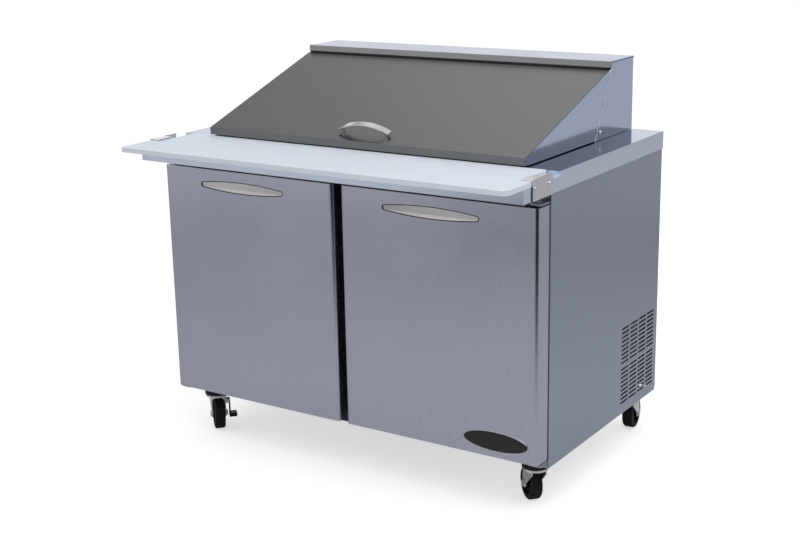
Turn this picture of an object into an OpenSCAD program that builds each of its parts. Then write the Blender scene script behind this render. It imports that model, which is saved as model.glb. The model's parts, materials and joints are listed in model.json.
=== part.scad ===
// Two-door refrigerated sandwich prep table: cold cabinet, counter with a food-pan well,
// rear hood with a hinged lid, cutting board and four swivel casters.
// +Z is up, -Y is the front with the doors, and the origin is on the floor under the middle.

/* [Cabinet] */
// Width over the counter's apron
counter_w = 1232; // [1200:4:1260]
// Depth of the side panels
cab_d = 692; // [680:4:720]
// How far the counter reaches in front of the side panels
counter_reach = 153; // [145:1:160]
// Height of the side panels' lower edge above the floor
panel_z = 124; // [124:1:128]
// Height of the base panel above the floor, where the casters bolt on
base_z = 126; // [126:1:130]
// Height of the apron's lower edge
apron_z = 860; // [856:1:870]
// Height of the counter's rear surface
counter_z = 910; // [908:1:924]
// How far the board's shelf lies below the rear surface
shelf_drop = 12; // [10:1:14]

/* [Doors] */
// Thickness of a door
door_d = 56; // [50:1:60]
// Gap between the two doors
door_gap = 25; // [20:1:30]
// Height of the doors' lower edge
door_z0 = 152; // [150:1:156]
// Height of the doors' upper edge
door_z1 = 833; // [830:1:838]
// Radius of the doors' vertical front edges
door_r = 11; // [6:1:14]
// Length of the recessed grip
grip_l = 296; // [280:2:340]
// Height of the recessed grip at its middle
grip_h = 34; // [32:1:44]
// How far both grips sit to the left of their doors' middles
grip_shift = 17; // [0:1:20]

/* [Lid and hood] */
// Width of the hood and lid
hood_w = 1040; // [1020:4:1060]
// Height of the hood's top
hood_z = 1122; // [1121:1:1130]
// Height of the lid's front lip
lip_h = 21; // [18:1:26]
// Slope of the lid in degrees
lid_slope = 18.7; // [18:0.1:19]

/* [Board] */
// Length of the cutting board
board_l = 1236; // [1224:4:1260]
// Depth of the cutting board
board_d = 273; // [255:1:274]
// Thickness of the cutting board
board_t = 13; // [12:0.5:13]

/* [Pans] */
// Number of pans across
pan_cols = 3; // [3:1:6]
// Depth of a food pan
pan_depth = 100; // [65:5:100]

/* [Casters] */
// Radius of a wheel
wheel_r = 47; // [45:1:47]
// Width of a wheel
wheel_w = 32; // [28:1:32]
// Distance from the swivel axis to the axle
trail = 27; // [25:1:30]
// Turn of each swivel at rest in degrees: front left, front right, rear left, rear right
swivel_turn = [-43.5, 139, 105, 97]; // [-180:0.5:180]

/* [Hidden] */
$fn = 48;

// Sheet thicknesses
sheet = 1.5;
thin = 1.2;
// The smallest gap between two loose parts
slack = 0.3;

// How far a rear wheel reaches behind its swivel axis
tread_r = 6;
function wheel_reach(a) = trail * sin(a) + (wheel_r - tread_r) * abs(sin(a))
    + (wheel_w / 2 - tread_r) * abs(cos(a)) + tread_r;

// Front to back: the board, the counter, the doors, the side panels and the rear wheels
board_over = 87;
rear_caster_in = 49;
rear_over = max(0, max(wheel_reach(swivel_turn[2]), wheel_reach(swivel_turn[3])) - rear_caster_in);
total_d = board_over + counter_reach + cab_d + rear_over;
y_back = total_d / 2 - rear_over;
y_face = y_back - cab_d;
y_counter = y_face - counter_reach;
y_board = -total_d / 2;
door_y0 = y_face - 65;
door_y1 = door_y0 + door_d;
shelf_z = counter_z - shelf_drop;
y_step = y_board + board_d + 5;

// Half widths
hw = counter_w / 2;
panel_x = hw - 3;
frame_x = panel_x - 2;
liner_x = hw - 67;
frame_t = 40;

// Cold space and machine bay
floor_z = base_z + 56;
rail_z = apron_z - 52;
bay_y = y_face + 420;
bay_z1 = base_z + 274;
step_y = bay_y - 44;
step_z = bay_z1 + 45;
liner_y1 = y_back - 60;

// Doors
door_x0 = door_gap / 2;
door_x1 = hw - 4;
door_w = door_x1 - door_x0;
door_h = door_z1 - door_z0;
pin_x = door_x1 - 18;
pin_y = door_y0 + 32;
pin_r = 4;
pin_fit = 0.06;
grip_z = door_z1 - 45;

// Pan well
pan_lip_x = 162;
pan_lip_y = 176;
pan_pitch_x = 163.4;
pan_pitch_y = 178;
pan_rows = 3;
well_x = pan_pitch_x * 3 + 2;
well_y0 = y_face + 64;
well_y1 = well_y0 + 541;
well_yc = (well_y0 + well_y1) / 2;
ledge_z = counter_z - 8;

// Hood and lid, the hinge axis lies in the lid's outer surface
hood_x = hood_w / 2;
hood_y1 = y_back - 6;
cap_y = hood_y1 - 152;
fascia_z = hood_z - 18.5;
lid_z0 = counter_z + 3;
lid_y0 = y_face + 37;
hinge_y = cap_y - 4.5;
lid_len = (hinge_y - lid_y0) / cos(lid_slope);
hinge_z = lid_z0 + lip_h + lid_len * sin(lid_slope);
hood_z0 = counter_z + 1;
seam_y0 = cap_y - 96;
seam_y1 = cap_y + 1;
knuckle_n = 13;
knuckle_r = 3.5;
hinge_pin_r = 2;

// Casters
caster_x = 553;
caster_y = [y_face + 39, y_back - rear_caster_in];
raceway_z0 = base_z - 22;
crown_z0 = raceway_z0 - 7;
axle_r = 5;
bolt_dx = 32;
bolt_dy = 28;

SCREW_R = 2.5;
SCREW_HEAD_R = 4.5;

steel = [0.72, 0.73, 0.76];
dark = [0.1, 0.1, 0.11];

// ---------- helpers ----------

// A box between two corners
module span(a, b) {
    translate(a) cube(b - a);
}

// A rectangle with round corners, centred
module round_rect(w, h, r) {
    square([w - 2 * r, h], center = true);
    square([w, h - 2 * r], center = true);
    for (x = [-1, 1], y = [-1, 1])
        translate([x * (w / 2 - r), y * (h / 2 - r)]) circle(r);
}

// Copies the children to both sides of the middle plane
module both_sides() {
    children();
    mirror([1, 0, 0]) children();
}

// Extrudes a shape drawn in the Y-Z plane along X, from x0 to x1
module along_x(x0, x1) {
    translate([x0, 0, 0]) rotate([90, 0, 90]) linear_extrude(x1 - x0) children();
}

// A cylinder along Y from y0 to y1
module rod_y(x, z, y0, y1, r) {
    translate([x, y0, z]) rotate([-90, 0, 0]) cylinder(h = y1 - y0, r = r);
}

// A cylinder along X from x0 to x1
module rod_x(y, z, x0, x1, r) {
    translate([x0, y, z]) rotate([0, 90, 0]) cylinder(h = x1 - x0, r = r);
}

// A sheet-metal channel with its open side to the back
module channel(a, b) {
    difference() {
        span(a, b);
        span(a + [sheet, sheet, sheet], b + [-sheet, 1, -sheet]);
    }
}

// ---------- cabinet ----------

louvre_rows = 18;
louvre_cols = 4;
louvre_pitch = 12.7;
louvre_group_gap = 7;
louvre_l = 49;
louvre_h = 5.5;
louvre_y0 = y_face + 445;
louvre_z0 = panel_z + 31;

function louvre_z(row) = louvre_z0 + row * louvre_pitch + (row > 8 ? louvre_group_gap : 0);

// The slots of the louvre field in a side panel
module louvre_slots() {
    for (col = [0 : louvre_cols - 1], row = [0 : louvre_rows - 1])
        translate([panel_x - 5, louvre_y0 + col * 58, louvre_z(row)])
            cube([10, louvre_l, louvre_h]);
}

// Outer side sheet with its front and back returns, on the right
module side_panel() {
    color(steel) difference() {
        translate([0, 0, panel_z]) linear_extrude(apron_z - 0.5 - panel_z) {
            translate([panel_x - sheet, y_face]) square([sheet, cab_d - sheet - slack]);
            translate([panel_x - 20, y_face - sheet]) square([20, sheet]);
            translate([panel_x - 20, y_back - 2 * sheet - slack]) square([20, sheet]);
        }
        louvre_slots();
        for (z = cover_screw_z) rod_y(cover_screw_x[2], z, y_back - 5, y_back, SCREW_R + 0.2);
    }
}

module side_panel_left() {
    mirror([1, 0, 0]) side_panel();
}

module side_panel_right() {
    side_panel();
}

module back_panel() {
    color(steel) span([-panel_x, y_back - sheet, bay_z1 + 2], [panel_x, y_back, apron_z - 0.5]);
}

cover_x = panel_x;
cover_z0 = panel_z + 8;
cover_z1 = bay_z1;
cover_screw_x = [-cover_x + 14, 0, cover_x - 14];
cover_screw_z = [cover_z0 + 12, cover_z1 - 12];
inlet_x = -460;
inlet_z = 210;

// Louvred cover of the machine bay
module rear_service_cover() {
    color(steel) difference() {
        span([-cover_x, y_back - sheet, cover_z0], [cover_x, y_back, cover_z1]);
        for (col = [-1, 1], row = [0 : 11])
            translate([col * 260 - 110, y_back - 5, cover_z0 + 40 + row * 16]) cube([220, 10, 7]);
        for (x = cover_screw_x, z = cover_screw_z) rod_y(x, z, y_back - 5, y_back + 5, SCREW_R + 0.2);
        span([inlet_x - 26, y_back - 5, inlet_z - 26], [inlet_x + 26, y_back + 5, inlet_z + 26]);
    }
}

module base_panel() {
    color(steel * 0.85) difference() {
        span([-frame_x + 1, y_face + frame_t + 1, base_z], [frame_x - 1, y_back - 5, base_z + 2]);
        for (x = [-1, 1], y = caster_y, dx = [-1, 1], dy = [-1, 1])
            translate([x * caster_x + dx * bolt_dx, y + dy * bolt_dy, base_z - 1]) cylinder(h = 4, r = 4.5);
    }
}

// Front wall and ceiling of the machine bay
module machine_bay_walls() {
    color([0.6, 0.62, 0.64]) {
        span([-frame_x + 22, bay_y - thin, base_z + 2.2], [frame_x - 22, bay_y, bay_z1 - thin - slack]);
        span([-frame_x + 22, bay_y - thin, bay_z1 - thin], [frame_x - 22, y_back - 6, bay_z1]);
    }
}

module foam_insulation() {
    foam_z1 = apron_z - 3;
    color([0.93, 0.88, 0.66]) {
        both_sides() {
            span([liner_x + 2, y_face + frame_t + 1, floor_z + 1], [frame_x - 1, step_y - 1, foam_z1]);
            span([liner_x + 2, step_y - 0.5, step_z + 1], [frame_x - 1, liner_y1 + 2, foam_z1]);
        }
        span([-frame_x + 1, y_face + frame_t + 1, base_z + 2.2], [frame_x - 1, bay_y - 2, floor_z]);
        span([-liner_x, step_y + 2, floor_z + 0.5], [liner_x, bay_y - 2, step_z - 3]);
        span([-liner_x, bay_y - 1.7, bay_z1 + 0.5], [liner_x, y_back - 3, step_z - 3]);
        span([-frame_x + 1, liner_y1 + 3, step_z], [frame_x - 1, y_back - 4, foam_z1]);
        difference() {
            span([-hw + 3, y_step + 2, apron_z + 3], [hw - 3, y_back - 3, counter_z - 3]);
            span([-well_x - 3, well_y0 - 3, apron_z], [well_x + 3, well_y1 + 3, counter_z]);
        }
    }
}

// Inner sheets of the cold space, each a flat sheet
module interior_liner() {
    top = apron_z - 2;
    color([0.8, 0.82, 0.84]) {
        both_sides() along_x(liner_x, liner_x + thin) polygon([
            [y_face + frame_t + 1, floor_z + thin + slack], [step_y, floor_z + thin + slack],
            [step_y, step_z + thin + slack], [liner_y1, step_z + thin + slack],
            [liner_y1, top], [y_face + frame_t + 1, top]]);
        span([-liner_x, y_face + frame_t + 1, floor_z + slack], [liner_x, step_y, floor_z + thin]);
        span([-liner_x + slack, step_y, floor_z + thin + slack], [liner_x - slack, step_y + thin, step_z]);
        span([-liner_x + slack, step_y + thin + slack, step_z - thin], [liner_x - slack, liner_y1, step_z]);
        span([-liner_x + slack, liner_y1, step_z + slack], [liner_x - slack, liner_y1 + thin, top]);
        // ceiling strips round the pan well
        both_sides() span([well_x + 3, y_face + frame_t + 2, top + slack],
            [liner_x, liner_y1, top + slack + thin]);
        span([-well_x, y_face + frame_t + 2, top + slack], [well_x, well_y0 - 3, top + slack + thin]);
        span([-well_x, well_y1 + 3, top + slack], [well_x, liner_y1, top + slack + thin]);
    }
}

module face_frame() {
    color(dark) {
        channel([-frame_x, y_face, rail_z], [frame_x, y_face + frame_t, apron_z - 0.5]);
        difference() {
            channel([-frame_x, y_face, base_z], [frame_x, y_face + frame_t, floor_z]);
            for (s = [-1, 1], dx = [-1, 1])
                translate([s * caster_x + dx * bolt_dx, caster_y[0] - bolt_dy, base_z - 1]) cylinder(h = 4, r = 4.5);
        }
        both_sides() channel([frame_x - 40, y_face, floor_z + slack],
            [frame_x, y_face + frame_t, rail_z - slack]);
    }
}

module centre_mullion() {
    color(dark) channel([-32, y_face, floor_z + slack],
        [32, y_face + frame_t, rail_z - slack]);
}

// ---------- counter, pans and shelves ----------

// Folded counter: rear top with the pan well, lower front shelf, apron and well flange
module countertop() {
    color(steel) difference() {
        union() {
            difference() {
                span([-hw, y_step - sheet, apron_z], [hw, y_back, counter_z]);
                span([-hw + sheet, y_step - 50, apron_z + sheet], [hw - sheet, y_back - sheet,
                    counter_z - sheet]);
                span([-hw + 16, y_step - 50, apron_z - 1], [hw - 16, y_back - 16, apron_z + 5]);
            }
            difference() {
                span([-hw, y_counter, apron_z], [hw, y_step - sheet, shelf_z]);
                span([-hw + sheet, y_counter + sheet, apron_z + sheet], [hw - sheet, y_step,
                    shelf_z - sheet]);
                span([-hw + 16, y_counter + 16, apron_z - 1], [hw - 16, y_step + 1, apron_z + 5]);
            }
            // riser between the shelf and the rear surface
            span([-hw, y_step - sheet, shelf_z - sheet], [hw, y_step, counter_z]);
            // flange of the pan well
            span([-well_x - sheet, well_y0 - sheet, apron_z + sheet],
                [well_x + sheet, well_y1 + sheet, counter_z]);
        }
        span([-well_x, well_y0, apron_z - 1], [well_x, well_y1, counter_z + 1]);
        for (x = [-hw, hw - 4], y = bracket_screw_y)
            rod_x(y, bracket_screw_z, x - 1, x + 5, SCREW_R + 0.2);
    }
}

bar_w = 12;
bar_h = 18;

// A folded bar across the well, open below, from y0 to y1
module pan_bar(y0, y1) {
    difference() {
        span([-well_x + slack, y0, ledge_z - bar_h], [well_x - slack, y1, ledge_z]);
        span([-well_x - 1, y0 + thin, ledge_z - bar_h - 1], [well_x + 1, y1 - thin, ledge_z - thin]);
    }
}

// Ledges and cross bars that carry the pans
module divider_bars() {
    ledge_w = 10;
    color(steel) {
        pan_bar(well_y0 + 1.5, well_y0 + 1.5 + ledge_w);
        pan_bar(well_y1 - 1.5 - ledge_w, well_y1 - 1.5);
        for (s = [-0.5, 0.5])
            pan_bar(well_yc + s * pan_pitch_y - bar_w / 2, well_yc + s * pan_pitch_y + bar_w / 2);
    }
}

// One food pan, its lip's underside at z = 0
module food_pan(lip_x) {
    wall = 1;
    body_x = lip_x - 20;
    body_y = pan_lip_y - 20;
    difference() {
        union() {
            linear_extrude(1.2) round_rect(lip_x, pan_lip_y, 12);
            translate([0, 0, -pan_depth]) linear_extrude(pan_depth + 0.6) round_rect(body_x, body_y, 18);
        }
        translate([0, 0, wall - pan_depth]) linear_extrude(pan_depth + 3)
            round_rect(body_x - 2 * wall, body_y - 2 * wall, 17);
    }
}

module food_pans() {
    pitch = pan_pitch_x * 6 / pan_cols;
    color([0.8, 0.81, 0.83])
        for (col = [0 : pan_cols - 1], row = [0 : pan_rows - 1])
            translate([(col - (pan_cols - 1) / 2) * pitch, well_yc + (row - 1) * pan_pitch_y, ledge_z])
                food_pan(pitch - 1.4);
}

wire_z = 560;
wire_x = [8, 535];
wire_y = [y_face + 50, y_face + 510];
wire_n = 18;

// One wire shelf on the right: a frame of thick wire and a deck of thin wires
module wire_shelf() {
    frame_r = 3.5;
    side_r = 2.8;
    side_in = 5;
    deck_r = 1.6;
    step = (wire_x[1] - wire_x[0] - 2 * side_in) / (wire_n + 1);
    for (y = [wire_y[0], (wire_y[0] + wire_y[1]) / 2, wire_y[1]])
        rod_x(y, wire_z, wire_x[0], wire_x[1], frame_r);
    for (x = [wire_x[0] + side_in, wire_x[1] - side_in])
        rod_y(x, wire_z, wire_y[0] - 1, wire_y[1] + 1, side_r);
    for (i = [1 : wire_n])
        rod_y(wire_x[0] + side_in + i * step, wire_z + frame_r + 0.6, wire_y[0] - 2, wire_y[1] + 2, deck_r);
}

module wire_shelves() {
    color([0.88, 0.89, 0.9]) both_sides() wire_shelf();
}

// Posts on the side walls and in the middle, with the clips that carry the shelves
module shelf_supports() {
    post_y = [wire_y[0] + 20, wire_y[1] - 30];
    clip_z = wire_z - 3.5;
    color([0.75, 0.77, 0.8]) {
        for (y = post_y) {
            both_sides() difference() {
                union() {
                    span([liner_x - 3, y - 8, step_z + 10], [liner_x, y + 8, apron_z - 80]);
                    span([liner_x - 16, y - 7, clip_z - 6], [liner_x, y + 7, clip_z]);
                }
                for (z = [step_z + 30 : 30 : apron_z - 100])
                    rod_x(y, z + 9, liner_x - 4, liner_x + 1, 3);
            }
        }
        // the front middle post stands behind the mullion, the rear one on the machine bay step
        span([-4, y_face + frame_t + 1, floor_z + thin + 1], [4, y_face + frame_t + 9, clip_z - 6.5]);
        span([-20, y_face + frame_t + 1, clip_z - 6], [20, y_face + frame_t + 30, clip_z]);
        span([-4, post_y[1] - 4, step_z + 0.2], [4, post_y[1] + 4, clip_z - 6.5]);
        span([-20, post_y[1] - 10, clip_z - 6], [20, post_y[1] + 10, clip_z]);
    }
}

// ---------- refrigeration ----------

evap_x = 260;
evap_y = [liner_y1 - 104, liner_y1 - 0.2];
evap_z = [610, 785];
evap_fan_z = 698;
evap_fan_r = 72;
knob_x = 200;

// Fan blades and hub about +Z, shaft downwards from z = 0
module fan(r, depth, blades, shaft_r, shaft_l) {
    difference() {
        cylinder(h = depth, r = r * 0.3);
        translate([0, 0, depth - 4]) cylinder(h = 5, r = r * 0.2);
    }
    for (i = [0 : blades - 1])
        rotate([0, 0, i * 360 / blades]) translate([r * 0.25, 0, depth / 2]) rotate([32, 0, 0])
            linear_extrude(1.6, center = true) intersection() {
                translate([0, -r * 0.3]) square([r * 0.7, r * 0.6]);
                translate([r * 0.3, 0]) circle(r * 0.42);
            }
    translate([0, 0, -shaft_l]) cylinder(h = shaft_l + 1, r = shaft_r);
}

// Cover over the evaporator with the fan opening, its motor and the thermostat's housing
module evaporator_cover() {
    front = evap_y[0];
    color([0.82, 0.83, 0.85]) {
        difference() {
            span([-evap_x, front, evap_z[0]], [evap_x, evap_y[1], evap_z[1]]);
            span([-evap_x + thin, front + thin, evap_z[0] + thin],
                [evap_x - thin, evap_y[1] + 1, evap_z[1] - thin]);
            rod_y(0, evap_fan_z, front - 1, front + 5, evap_fan_r + 4);
            for (s = [-1, 1], i = [0 : 9])
                span([s * evap_x - 5, front + 20, evap_z[0] + 25 + i * 13],
                    [s * evap_x + 5, front + 80, evap_z[0] + 31 + i * 13]);
            rod_y(knob_x, evap_fan_z, front - 1, front + 5, 3.5);
        }
    }
    color(dark) {
        difference() {
            union() {
                rod_y(0, evap_fan_z, front + 29, front + 44, 26);
                span([-10, front + 43, evap_z[0] + thin + 0.1], [10, front + 45, evap_z[1] - thin - 0.1]);
            }
            rod_y(0, evap_fan_z, front + 23, front + 40, 4.06);
        }
        difference() {
            span([knob_x - 22, front + thin + 0.2, evap_fan_z - 22], [knob_x + 22, front + 24, evap_fan_z + 22]);
            rod_y(knob_x, evap_fan_z, front - 5, front + 18, 3.06);
        }
    }
}

module evaporator_coil() {
    x1 = evap_x - 30;
    y0 = evap_y[0] + 52;
    color([0.78, 0.8, 0.82]) {
        for (x = [-x1 : 12 : x1])
            span([x, y0, evap_z[0] + 12], [x + 0.8, evap_y[1] - 0.5, evap_z[1] - 12]);
        for (i = [0 : 5], j = [0, 1])
            rod_x(y0 + 11 + j * 22, evap_z[0] + 26 + i * 24, -x1 - 10, x1 + 10, 4);
    }
}

module evaporator_fan() {
    color([0.2, 0.2, 0.22]) translate([0, evap_y[0] + 23, evap_fan_z]) rotate([90, 0, 0])
        fan(evap_fan_r, 16, 4, 4, 15);
}

// Knob with a pointer rib, on a shaft that runs in the thermostat's housing
module thermostat_knob() {
    color(dark) translate([knob_x, evap_y[0] - 0.5, evap_fan_z]) rotate([90, 0, 0]) {
        cylinder(h = 4, r = 17);
        cylinder(h = 16, r = 13);
        translate([-2, -16, 4]) cube([4, 32, 13]);
        translate([0, 0, -16]) cylinder(h = 17, r = 3);
    }
}

comp_x = 250;
comp_y = bay_y + 130;

// Hermetic compressor on its base plate
module compressor() {
    z0 = base_z + 2.2;
    color(dark) translate([comp_x, comp_y, z0]) {
        difference() {
            translate([-95, -85, 0]) cube([190, 170, 3]);
            for (x = [-1, 1], y = [-1, 1]) translate([x * 82, y * 72, -1]) cylinder(h = 5, r = 5);
        }
        translate([0, 0, 2]) rotate_extrude() {
            square([72, 150]);
            translate([0, 150]) intersection() {
                circle(72);
                square([72, 46]);
            }
        }
        translate([60, 0, 120]) rotate([0, 90, 0]) cylinder(h = 40, r = 6);
        translate([-100, -20, 60]) cube([40, 40, 60]);
    }
}

cond_x = [540, 584];
cond_y = [louvre_y0 - 4, louvre_y0 + 204];
cond_z = [base_z + 20, base_z + 250];
cond_fan_y = (cond_y[0] + cond_y[1]) / 2;
cond_fan_z = (cond_z[0] + cond_z[1]) / 2;
cond_fan_r = 92;

// Finned condenser behind the right louvres
module condenser_coil() {
    color([0.3, 0.3, 0.32]) {
        for (y = [cond_y[0] : 8 : cond_y[1]]) span([cond_x[0], y, cond_z[0]], [cond_x[1], y + 0.8, cond_z[1]]);
        for (i = [0 : 7], j = [0, 1])
            rod_y(cond_x[0] + 11 + j * 22, cond_z[0] + 18 + i * 28, cond_y[0] - 8, cond_y[1] + 8, 4.5);
    }
}

// Shroud with its round opening, and the fan motor on its bracket
module fan_shroud() {
    x1 = cond_x[0] - 0.5;
    x0 = x1 - 30;
    motor_x = x0 - 60;
    color([0.25, 0.25, 0.27]) {
        difference() {
            span([x0, cond_y[0] - 6, cond_z[0]], [x1, cond_y[1] + 6, cond_z[1]]);
            span([x0 + sheet, cond_y[0] - 6 + sheet, cond_z[0] + sheet],
                [x1 + 1, cond_y[1] + 6 - sheet, cond_z[1] - sheet]);
            rod_x(cond_fan_y, cond_fan_z, x0 - 1, x0 + 5, cond_fan_r + 5);
        }
        difference() {
            union() {
                rod_x(cond_fan_y, cond_fan_z, motor_x, motor_x + 42, 36);
                span([motor_x + 10, cond_fan_y - 20, base_z + 2.2], [motor_x + 14, cond_fan_y + 20, cond_fan_z]);
                span([motor_x - 10, cond_fan_y - 20, base_z + 2.2], [motor_x + 40, cond_fan_y + 20, base_z + 5]);
            }
            rod_x(cond_fan_y, cond_fan_z, motor_x + 10, motor_x + 51, 4.06);
        }
    }
}

module condenser_fan() {
    color([0.2, 0.2, 0.22])
        translate([cond_x[0] - 36, cond_fan_y, cond_fan_z]) rotate([0, 90, 0]) fan(cond_fan_r, 20, 5, 4, 30);
}

module control_box() {
    color([0.55, 0.57, 0.6]) difference() {
        span([-330, bay_y + 60, base_z + 2.2], [-170, bay_y + 190, base_z + 92]);
        for (x = [-300 : 20 : -200]) span([x, bay_y + 90, base_z + 80], [x + 8, bay_y + 160, base_z + 95]);
    }
}

// Recessed three-pin inlet in the rear cover
module power_inlet() {
    y0 = y_back - 34;
    color(dark) difference() {
        union() {
            span([inlet_x - 25, y0, inlet_z - 25], [inlet_x + 25, y_back, inlet_z + 25]);
            span([inlet_x - 32, y_back - sheet - 3, inlet_z - 32], [inlet_x + 32, y_back - sheet - slack, inlet_z + 32]);
        }
        span([inlet_x - 14, y0 + 8, inlet_z - 11], [inlet_x + 14, y_back + 1, inlet_z + 11]);
    }
    color([0.8, 0.7, 0.4]) for (i = [-1 : 1])
        span([inlet_x + i * 7 - 1, y0 + 7, inlet_z - 4 + 4 * abs(i)],
            [inlet_x + i * 7 + 1, y0 + 24, inlet_z + 4 * abs(i)]);
}

// ---------- hood and lid ----------

hood_screw = [seam_y0 + 38, hood_z0 + 22];
shell_z1 = hood_z - sheet - slack;
seam_w = 3.5;

// Front edge of the hood's cheeks at height z
function shell_front(z) = seam_y0 + 3 + (z - hood_z0) * (seam_y1 - seam_y0) / (fascia_z - hood_z0);

// Side cheeks and back of the fixed hood
module hood_shell() {
    color(steel) difference() {
        union() {
            both_sides() along_x(hood_x - sheet, hood_x) polygon([
                [shell_front(hood_z0), hood_z0], [shell_front(fascia_z), fascia_z],
                [shell_front(fascia_z), shell_z1],
                [hood_y1, shell_z1], [hood_y1, hood_z0]]);
            both_sides() span([hood_x - 16, seam_y0 + 8, hood_z0],
                [hood_x - 0.5, hood_y1 - 0.5, hood_z0 + sheet]);
            span([-hood_x, hood_y1 - sheet, hood_z0], [hood_x, hood_y1, shell_z1]);
        }
        for (x = [-hood_x, hood_x - 4]) rod_x(hood_screw[0], hood_screw[1], x - 1, x + 5, SCREW_R + 0.2);
    }
}

cap_skirt = 4.5;

// Top cap: a tray that closes the hood, with a fascia over the lid's hinge
module hood_cap() {
    color([0.85, 0.86, 0.88]) {
        difference() {
            span([-hood_x - 1.5, cap_y, fascia_z], [hood_x + 1.5, hood_y1 + 1.5, hood_z]);
            span([-hood_x - slack, cap_y + sheet, fascia_z - 1],
                [hood_x + slack, hood_y1 + slack, hood_z - sheet]);
            span([-hood_x - 2, cap_y + 3, fascia_z - 1], [hood_x + 2, hood_y1 + 2, hood_z - cap_skirt]);
        }
        // return flange that carries the hinge
        span([-hood_x + 20, cap_y + sheet - 0.2, fascia_z], [hood_x - 20, cap_y + 26, fascia_z + sheet]);
    }
}

// Soft strips in the seam between the lid's cheeks and the hood
module hood_seal() {
    z0 = hood_z0 + 3;
    z1 = fascia_z - 12;
    color(dark) both_sides() along_x(hood_x - 9, hood_x - sheet - slack) polygon([
        [shell_front(z0) - seam_w, z0], [shell_front(z1) - seam_w, z1],
        [shell_front(z1) + 5, z1], [shell_front(z0) + 5, z0]]);
}

knuckle_l = (hood_w - 12) / knuckle_n;

// The knuckles with the given parity and their bore, about the hinge axis
module knuckles(odd) {
    for (i = [0 : knuckle_n - 1]) if (i % 2 == odd)
        rod_x(hinge_y, hinge_z, -hood_x + 6 + i * knuckle_l + 0.2, -hood_x + 6 + (i + 1) * knuckle_l - 0.2,
            knuckle_r);
}

module knuckle_bore() {
    rod_x(hinge_y, hinge_z, -hood_x, hood_x, hinge_pin_r + 0.05);
}

leaf_z1 = fascia_z - slack / 2;

// Hood's leaf of the long lid hinge, under the cap's flange
module hood_hinge_leaf() {
    color(dark) difference() {
        union() {
            knuckles(0);
            for (i = [0 : knuckle_n - 1]) if (i % 2 == 0)
                span([-hood_x + 6 + i * knuckle_l + 0.8, hinge_y + 1, leaf_z1 - 1.4],
                    [-hood_x + 6 + (i + 1) * knuckle_l - 0.8, hinge_y + 8, leaf_z1]);
            span([-hood_x + 21, hinge_y + 6, leaf_z1 - 1.4], [hood_x - 21, cap_y + 26, leaf_z1]);
        }
        knuckle_bore();
    }
}

// Places children in the lid's own frame: X across, Y up the slope from the hinge, Z out of the lid
module on_lid() {
    translate([0, hinge_y, hinge_z]) rotate([lid_slope, 0, 0]) children();
}

module lid_hinge_leaf() {
    color(dark) difference() {
        union() {
            knuckles(1);
            on_lid() {
                for (i = [0 : knuckle_n - 1]) if (i % 2 == 1)
                    span([-hood_x + 6 + i * knuckle_l + 0.8, -6, -2.8],
                        [-hood_x + 6 + (i + 1) * knuckle_l - 0.8, -2.2, -1.4]);
                span([-hood_x + 22, -26, -2.8], [hood_x - 22, -4.4, -1.4]);
            }
        }
        knuckle_bore();
    }
}

module lid_hinge_pin() {
    color(steel) rod_x(hinge_y, hinge_z, -hood_x + 5, hood_x - 5, hinge_pin_r);
}

hem_w = 12;

// Height of the lid's outer surface at y
function lid_top(y) = hinge_z - (hinge_y - y) * tan(lid_slope);

// Outer sheet of the lid with its folded front lip and hem
module lid_panel() {
    end_y = hinge_y - 4.4 * cos(lid_slope);
    under = thin / cos(lid_slope);
    color([0.45, 0.46, 0.46]) along_x(-hood_x, hood_x) polygon([
        [lid_y0, lid_z0], [lid_y0, lid_z0 + lip_h], [end_y, lid_top(end_y)], [end_y, lid_top(end_y) - under],
        [lid_y0 + thin, lid_top(lid_y0 + thin) - under], [lid_y0 + thin, lid_z0 + thin],
        [lid_y0 + hem_w, lid_z0 + thin], [lid_y0 + hem_w, lid_z0]]);
}

// Triangular side walls of the lid
module lid_cheeks() {
    drop = thin / cos(lid_slope) + slack;
    y0 = lid_y0 + thin + slack;
    y1 = seam_y1 - 2.6;
    hem_y = lid_y0 + hem_w + slack;
    hem_z = lid_z0 + thin + slack;
    color([0.55, 0.56, 0.58]) both_sides() along_x(hood_x - thin, hood_x) polygon([
        [y0, hem_z], [y0, lid_top(y0) - drop], [y1, lid_top(y1) - drop],
        [shell_front(lid_z0) - seam_w, lid_z0], [hem_y, lid_z0], [hem_y, hem_z]]);
}

// Inner sheet of the lid, a tray over its insulation
module lid_inner_panel() {
    d = 23;
    y0 = -lid_len + 34;
    y1 = -30;
    color([0.75, 0.76, 0.78]) on_lid() difference() {
        span([-hood_x + 12, y0, -d], [hood_x - 12, y1, -thin - 0.1]);
        span([-hood_x + 13, y0 + 1, -d + 1], [hood_x - 13, y1 - 1, 1]);
    }
}

handle_l = 168;
handle_d = 20;
handle_rise = 22;
handle_foot = 11;

// Arched flat-bar handle on two posts
module lid_handle() {
    top = handle_foot + handle_rise;
    r = (pow(handle_l / 2, 2) + pow(handle_rise, 2)) / (2 * handle_rise);
    color([0.9, 0.9, 0.92]) on_lid() translate([0, 34 - lid_len, 0]) rotate([90, 0, 0]) {
        translate([0, 0, -handle_d]) linear_extrude(handle_d) intersection() {
            translate([0, top - r]) difference() {
                circle(r, $fn = 180);
                circle(r - 3.5, $fn = 180);
            }
            translate([-handle_l / 2, 0]) square([handle_l, top + 1]);
        }
        // posts, narrower than the bar and cut off by its arc
        translate([0, 0, -handle_d / 2 - 5]) linear_extrude(10) intersection() {
            translate([0, top - r]) circle(r - 1, $fn = 180);
            for (x = [-handle_l / 2 + 6, handle_l / 2 - 16]) translate([x, 0.05]) square([10, top]);
        }
    }
}

// ---------- doors ----------

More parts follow.
